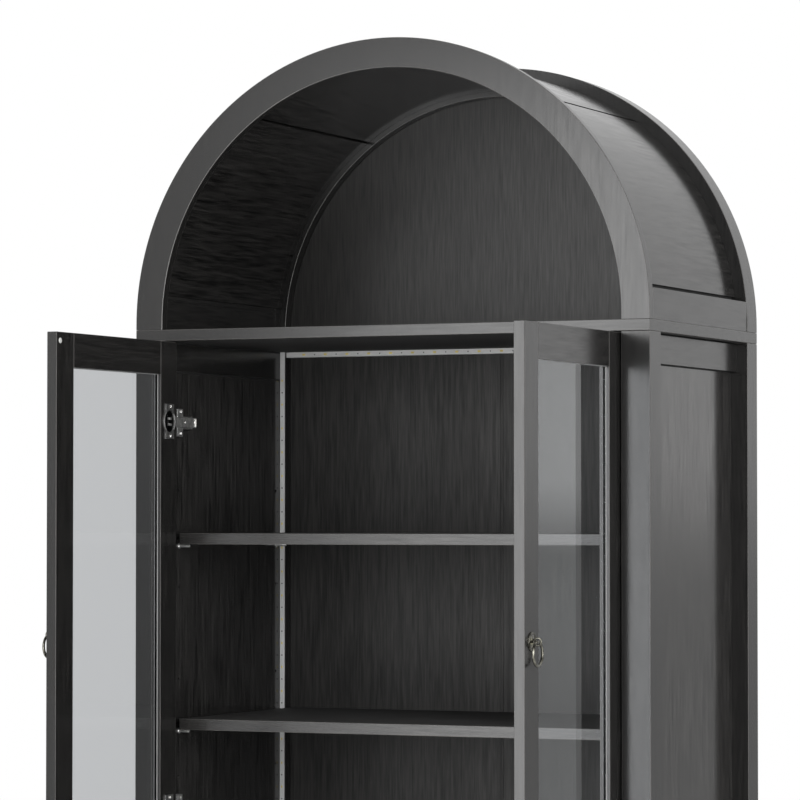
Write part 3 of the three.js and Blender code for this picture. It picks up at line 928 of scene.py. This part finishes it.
@dataclass
class CupHinge:
    """One concealed hinge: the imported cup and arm, with screws, link and cover cap."""

    side: Side
    place: str
    screw: float = 3.4 * MM
    small_screw: float = 2.6 * MM
    flange_inset: float = 4.2 * MM
    wing_inset: float = 4.5 * MM
    wing_drop: float = 9.5 * MM
    wing_row: float = 37.5 * MM
    clamp_rows: Pair = (33.0 * MM, 62.0 * MM)
    link_height: float = 3.4 * MM
    link_thick: float = 1.3 * MM
    link_reach: float = 4.4 * MM
    link_stations: int = 15
    cover_from: float = 66.5 * MM
    cover_half: float = 6.2 * MM

    def build(self) -> None:
        """Dresses both halves and adds the small parts."""
        word = self.side.word
        self.cup = span(f"{word}_hinge_cup_{self.place}")
        self.arm = span(f"{word}_hinge_arm_{self.place}")
        dress(f"{word}_hinge_cup_{self.place}", CUP_STEEL, 0.25 * MM, BRIGHT_STEEL)
        dress(f"{word}_hinge_arm_{self.place}", STEEL, 0.5 * MM, BRIGHT_STEEL)
        self.middle = (self.cup[0] + self.cup[1]) / 2
        self.flange_screws()
        self.plate_screws()
        self.link()
        self.cover()

    def flange_screws(self) -> None:
        """Two screws through the cup's flange, above and below the cup."""
        s = self.side.value
        face = inner_face(self.side, self.cup)
        head = screw_head(self.screw, 0.9 * MM, 0.7 * MM).moved(**sideways(-s))
        z = np.array([self.cup[0][2] + self.flange_inset, self.cup[1][2] - self.flange_inset])
        heads = head.repeated(rows(face, self.middle[1], z))
        piece(f"{self.name}_flange_screws", heads, f"{self.side.word}_door", SCREW_STEEL)

    def plate_screws(self) -> None:
        """Two screws in the wings of the side plate and the clamping screw on the arm."""
        s = self.side.value
        low, high = self.arm
        y = low[1] + self.wing_row
        wing = s * (abs(self.arm_face()) + self.wing_drop)
        head = screw_head(self.screw, 0.9 * MM, 0.7 * MM).moved(**sideways(-s))
        ends = np.array([low[2] + self.wing_inset, high[2] - self.wing_inset])
        wings = head.repeated(rows(wing, y, ends))
        clamp = screw_head(self.small_screw, 0.7 * MM, 0.6 * MM).moved(**sideways(-s))
        tops = clamp.repeated(rows(self.arm_face(), low[1] + np.array(self.clamp_rows), self.middle[2]))
        piece(f"{self.name}_plate_screws", together(wings, tops), "cabinet", SCREW_STEEL)

    def arm_face(self) -> float:
        """X of the arm's inward face."""
        return inner_face(self.side, self.arm)

    def link(self) -> None:
        """Two curved links from the arm's nose into the cup.

        The path is a quarter of a sine from the nose to the cup's floor.
        """
        s = self.side.value
        t = np.linspace(0, 1, self.link_stations)
        nose = np.array([abs(self.arm_face()) + 3.4 * MM, self.arm[0][1] + 3 * MM])
        seat = np.array([abs(self.cup[0][0] + self.cup[1][0]) / 2 - 1 * MM, self.middle[1] + 3 * MM])
        x = s * (nose[0] + (seat[0] - nose[0]) * t - 2.0 * MM * np.sin(math.pi * t))
        y = nose[1] + (seat[1] - nose[1]) * t
        path = rows(x, y, self.middle[2])
        height = np.full(len(t), self.link_height)
        bars = [swept_bar(path + (0, 0, way * self.link_reach), height, self.link_thick) for way in (-1, 1)]
        obj = loose_piece(f"{self.name}_links", together(*bars), STEEL)
        f"{self.side.word}_door"
        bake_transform(obj)

    def cover(self) -> None:
        """A ribbed cap clipped over the tail of the arm."""
        s = self.side.value
        low, high = self.arm
        face, y0, y1 = self.arm_face(), low[1] + self.cover_from, high[1] - 7 * MM
        half = self.cover_half
        x = sorted((face + s * 1.0 * MM, face - s * 1.3 * MM))
        z = self.middle[2]
        cap = eased_block((x[0], y0, z - half), (x[1], y1 - 1 * MM, z + half), 0.6 * MM)
        x = sorted((face - s * 0.7 * MM, face - s * 1.7 * MM))
        rib = eased_block((x[0], 0, -half * 0.8), (x[1], 0.9 * MM, half * 0.8), 0.35 * MM, 2)
        ribs = rib.repeated(rows(0.0, np.linspace(y0 + 0.6 * MM, y1 - 2.6 * MM, 3), z))
        piece(f"{self.name}_cover", together(cap, ribs), "cabinet", SCREW_STEEL)

    @property
    def name(self) -> str:
        """Stem of the names of the hinge's small parts."""
        return f"{self.side.word}_hinge_{self.place}"


@dataclass
class RingPull:
    """A ring hanging from an eye on a turned rose."""

    side: Side
    ring_wire: float = 2.0 * MM
    eye_wire: float = 1.4 * MM
    eye_radius: float = 4.7 * MM

    def build(self) -> None:
        """Builds rose, eye and ring in place of the plain packed ones."""
        self.mount()
        self.ring()

    def mount(self) -> None:
        """Rose with a raised bead and a dished middle, a tapered neck, and the eye.

        The rose and neck are one profile turned about the door's thickness direction.
        """
        s, word = self.side.value, self.side.word
        low, high = span(f"{word}_pull_mount")
        near, far = sorted((abs(low[0]), abs(high[0])))
        y, z = (low[1] + high[1]) / 2, (low[2] + high[2]) / 2
        radius = (high[2] - low[2]) / 2
        profile = np.array([
            (0.97, 0.0), (1.0, 0.15), (1.0, 1.0), (0.975, 1.5), (0.93, 1.75), (0.86, 1.7), (0.8, 1.35),
            (0.76, 1.1), (0.7, 1.15), (0.58, 1.7), (0.45, 2.3), (0.33, 2.9), (0.27, 3.3), (0.22, 3.9),
            (0.19, 4.7), (0.18, 5.4), (0.17, 5.9), (0.1, 6.1),
        ])
        rose = lathed(profile * (radius, MM), 56).moved((s * near, y, z), **sideways(s))
        centre = (s * (far - self.eye_wire - self.eye_radius), y, z)
        eye = hoop(self.eye_radius, self.eye_wire, 40, 12).moved(centre, y=(0, 0, 1), z=(0, 1, 0))
        mount = piece(f"{word}_pull_rose", together(rose, eye), f"{word}_door", BRONZE)
        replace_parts(mount, f"{word}_pull_mount")

    def ring(self) -> None:
        """The hanging ring, a little thicker at its foot than where it passes through the eye."""
        word = self.side.word
        low, high = span(f"{word}_pull_ring")
        middle = (low + high) / 2
        radius = (high[2] - low[2]) / 2 - self.ring_wire
        steps = 96
        wire = self.ring_wire * (0.97 - 0.12 * np.cos(full_turn(steps)))
        ring = hoop(radius, wire, steps, 16).moved(tuple(middle), x=(0, 0, 1), y=(0, 1, 0), z=(1, 0, 0))
        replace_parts(piece(f"{word}_hanging_ring", ring, f"{word}_ring", BRONZE), f"{word}_pull_ring")


@dataclass
class Door:
    """A framed glass door with its hinges, pull, glazing beads and bumpers."""

    side: Side
    ease: float = 0.6 * MM
    bead: float = 1.0 * MM
    tuck: float = 0.2 * MM
    bumper_radius: float = 4.0 * MM
    bumper_rise: float = 1.5 * MM
    bumper_inset: Pair = (10.0 * MM, 12.0 * MM)

    def build(self) -> None:
        """Dresses the frame and glass and adds everything that the door carries."""
        word = self.side.word
        for member in ("hinge_stile", "lock_stile"):
            dress(f"{word}_door_{member}", OAK, self.ease)
        for member in ("top_rail", "bottom_rail"):
            dress(f"{word}_door_{member}", OAK_DEEP, self.ease)
        dress(f"{word}_door_glass", GLASS)
        self.beads()
        self.bumpers()
        for place in ("top", "middle", "bottom"):
            CupHinge(self.side, place).build()
        RingPull(self.side).build()

    def beads(self) -> None:
        """Dark sealing beads in the corner between the glass and the frame, on both faces.

        Each is a small rounded section carried round the opening in one closed loop with mitred corners.
        """
        word, b = self.side.word, self.bead
        glass_low, glass_high = span(f"{word}_door_glass")
        top, bottom = span(f"{word}_door_top_rail")[0][2], span(f"{word}_door_bottom_rail")[1][2]
        front, back = span(f"{word}_door_lock_stile")[1][1], span(f"{word}_door_hinge_stile")[0][1]
        corners = np.array([(front, bottom), (back, bottom), (back, top), (front, top)])
        inwards = np.array([(1, 1), (-1, 1), (-1, -1), (1, -1)])
        quarter = np.linspace(0, math.pi / 2, 5)
        section = np.r_[np.stack([np.cos(quarter), np.sin(quarter)], axis=1) * b, [(0.0, 0.0)]]
        loops = []
        for face, out in ((glass_low[0], -1), (glass_high[0], 1)):
            inset = section[:, 0] - self.tuck
            yz = corners[:, None, :] + inwards[:, None, :] * inset[None, :, None]
            x = face + out * (section[None, :, 1] + 0.02 * MM)
            loops.append(tube(rows(x, yz[..., 0], yz[..., 1]), closed=True))
        piece(f"{word}_door_beads", together(*loops), f"{word}_door", GASKET, crease=30.0)

    def bumpers(self) -> None:
        """Two soft domes on the inner face of the lock stile, near its ends."""
        word, s = self.side.word, self.side.value
        low, high = span(f"{word}_door_lock_stile")
        face = inner_face(self.side, (low, high))
        turn = 1.45 * np.linspace(0, 1, 9)
        rise = CLEAR + self.bumper_rise * np.sin(turn)
        profile = np.stack([self.bumper_radius * np.cos(turn), rise], axis=1)
        dome = lathed(profile, 28).moved(**sideways(-s))
        across, along = self.bumper_inset
        places = rows(face, low[1] + across, np.array([low[2] + along, high[2] - along]))
        piece(f"{word}_door_bumpers", dome.repeated(places), f"{word}_door", SOFT_BUMPER)


@dataclass
class Lighting:
    """Light strips under the mid board and down the rear posts, with chips and dots along them."""

    pitch: float = 37 * MM
    top_margins: Pair = (30.0 * MM, 20.0 * MM)
    side_margins: Pair = (25.0 * MM, 12.0 * MM)

    def build(self) -> None:
        """Dresses the strips and lays the chips."""
        for where in ("top", "left", "right"):
            dress(f"led_strip_{where}", DIFFUSER, 0.35 * MM, DIFFUSER)
        self.top_chips()
        for side in Side:
            self.side_chips(side)

    def chip(self, long: float, wide: float, thick: float) -> Solid:
        """A small eased block standing on Z = 0."""
        ease = min(0.3 * MM, thick * 0.45)
        return eased_block((-long / 2, -wide / 2, 0), (long / 2, wide / 2, thick), ease, 2)

    def top_chips(self) -> None:
        """Chips and solder dots along the front face of the top strip."""
        low, high = span("led_strip_top")
        x = np.arange(low[0] + self.top_margins[0], high[0] - self.top_margins[1], self.pitch)
        row = rows(x, low[1], (low[2] + high[2]) / 2)
        turn = {"y": (0, 0, 1), "z": (0, -1, 0)}
        between = row[:-1] + (self.pitch / 2, 0, 0)
        chips = self.chip(5.0 * MM, 3.0 * MM, 0.5 * MM).moved(**turn).repeated(row)
        dots = self.chip(1.8 * MM, 1.8 * MM, 0.3 * MM).moved(**turn).repeated(between)
        piece("top_strip_chips", chips, "cabinet", PHOSPHOR)
        piece("top_strip_dots", dots, "cabinet", SOLDER)

    def side_chips(self, side: Side) -> None:
        """Chips with a dark dot between them along one upright strip."""
        low, high = span(f"led_strip_{side.word}")
        z = np.arange(low[2] + self.side_margins[0], high[2] - self.side_margins[1], self.pitch)
        column = rows((low[0] + high[0]) / 2, low[1], z)
        turn = {"x": (0, 0, 1), "y": (1, 0, 0), "z": (0, -1, 0)}
        between = column[:-1] + (0, 0, self.pitch / 2)
        chips = self.chip(3.2 * MM, 2.4 * MM, 0.4 * MM).moved(**turn).repeated(column)
        dots = self.chip(2.0 * MM, 2.0 * MM, 0.3 * MM).moved(**turn).repeated(between)
        piece(f"{side.word}_strip_chips", chips, "cabinet", PHOSPHOR)
        piece(f"{side.word}_strip_dots", dots, "cabinet", SOLDER)


@dataclass
class BackFittings:
    """Screws round the back panels, the power box and the wall bracket."""

    screw: float = 3.2 * MM
    inset: float = 12 * MM
    panel_rows: int = 7
    arch_count: int = 11
    arch_from: float = 6.0

    def build(self) -> None:
        """Dresses the fittings and sets the screws."""
        dress("led_power_box", PLASTIC, 1.2 * MM, PLASTIC)
        dress("wall_anchor_bracket", STEEL, 0.4 * MM, BRIGHT_STEEL)
        head = screw_head(self.screw, 0.8 * MM, 0.6 * MM).moved(y=(0, 0, 1), z=(0, 1, 0))
        for side in Side:
            low, high = span(f"back_panel_{side.word}")
            x = np.array([low[0] + self.inset, high[0] - self.inset])
            z = np.linspace(low[2] + self.inset, high[2] - self.inset, self.panel_rows)
            places = np.array([(a, high[1], b) for a in x for b in z])
            piece(f"back_panel_screws_{side.word}", head.repeated(places), "cabinet", SCREW_STEEL)
        low, high = span("arch_back_panel")
        radius = high[0] - self.inset
        angle = np.radians(np.linspace(self.arch_from, 180 - self.arch_from, self.arch_count))
        centre = high[2] - high[0]
        places = rows(radius * np.cos(angle), high[1], centre + radius * np.sin(angle))
        piece("arch_back_screws", head.repeated(places), "cabinet", SCREW_STEEL)


# Studio -------------------------------------------------------------------


@dataclass
class Studio:
    """Pale floor, soft lights, white surround and the camera."""

    surround: float = 1.0
    below: float = 0.42
    through_glass: float = 0.62
    horizon: float = 0.01
    camera_at: Triple = (2.21376, -4.8904, 1.16552)
    camera_turn: Triple = (91.8, 0.0, 24.3701)
    lens: float = 169.095
    shift: Pair = (0.0, 0.0018)
    floor_half: float = 6.0

    def build(self) -> None:
        """Builds the set."""
        self.floor()
        self.world()
        self.lamp("key_light", (-0.6, -2.7, 0.65), (-0.6, 0.0, 0.65), (1.4, 2.9), 68.0)
        self.lamp("fill_light", (2.9, -2.2, 1.5), (-0.2, 0.2, 1.2), (0.9, 2.4), 135.0)
        self.lamp("top_light", (0.0, 0.0, 3.9), (0.0, 0.05, 1.0), (1.6, 1.6), 5.0)
        self.camera()

    def floor(self) -> None:
        """A plain floor under the cabinet."""
        mesh = bpy.data.meshes.new("floor")
        half = self.floor_half
        corners = [(-half, -half, 0), (half, -half, 0), (half, half, 0), (-half, half, 0)]
        mesh.from_pydata(corners, [], [(0, 1, 2, 3)])
        paint = Moulded("pale_floor", "", colour=(0.72, 0.72, 0.71), uneven=0.02, texture=200.0)
        mesh.materials.append(paint.material())
        obj = bpy.data.objects.new("floor", mesh)
        bpy.context.scene.collection.objects.link(obj)

    def world(self) -> None:
        """A white surround, a little dimmer through the panes; its light is weaker below the horizon."""
        world = bpy.data.worlds.new("surround")
        bpy.context.scene.world = world
        mix, white = Recipe(world, "OutputWorld"), (1, 1, 1, 1)
        path = mix.add("LightPath").outputs
        height = mix.add("SeparateXYZ", Vector=mix.add("TexCoord").outputs["Generated"]).outputs["Z"]
        level = mix.spread(height, self.below, self.surround, (-self.horizon, self.horizon))
        behind = mix.spread(path["Transparent Depth"], 1.0, self.through_glass, WHOLE)
        lights = mix.add("Background", Color=white, Strength=level)
        seen = mix.add("Background", Color=white, Strength=behind)
        mix.finish(mix.layered(path["Is Camera Ray"], lights, seen))
        bpy.context.scene.view_settings.view_transform = "Standard"

    def lamp(self, name: str, at: Triple, towards: Triple, size: Pair, power: float) -> None:
        """A rectangular soft light aimed at a point.

        Args:
            name: name of the light.
            at: where it stands.
            towards: the point that it faces.
            size: its width and height.
            power: its power in watts.
        """
        data = bpy.data.lights.new(name, "AREA")
        data.shape = "RECTANGLE"
        data.size, data.size_y = size
        data.energy = power
        obj = bpy.data.objects.new(name, data)
        obj.location = at
        aim = np.array(towards) - np.array(at)
        flat = math.hypot(aim[0], aim[1])
        tilt, turn = math.atan2(aim[2], flat), math.atan2(aim[1], aim[0])
        obj.rotation_euler = (math.pi / 2 + tilt, 0, turn - math.pi / 2)
        bpy.context.scene.collection.objects.link(obj)

    def camera(self) -> None:
        """The camera, level with the shelves and to the right of the front."""
        data = bpy.data.cameras.new("camera")
        data.lens = self.lens
        data.shift_x, data.shift_y = self.shift
        obj = bpy.data.objects.new("camera", data)
        obj.location = self.camera_at
        obj.rotation_euler = tuple(math.radians(a) for a in self.camera_turn)
        bpy.context.scene.collection.objects.link(obj)
        bpy.context.scene.camera = obj


def main() -> None:
    """Builds the cabinet's pieces in order, then the studio."""
    logging.basicConfig(level=logging.INFO, format="%(name)s: %(message)s")
    ArchCrown().build()
    Carcass().build()
    Shelving().build()
    for side in Side:
        Door(side).build()
    Lighting().build()
    BackFittings().build()
    Studio().build()


if __name__ == "__main__":
    main()
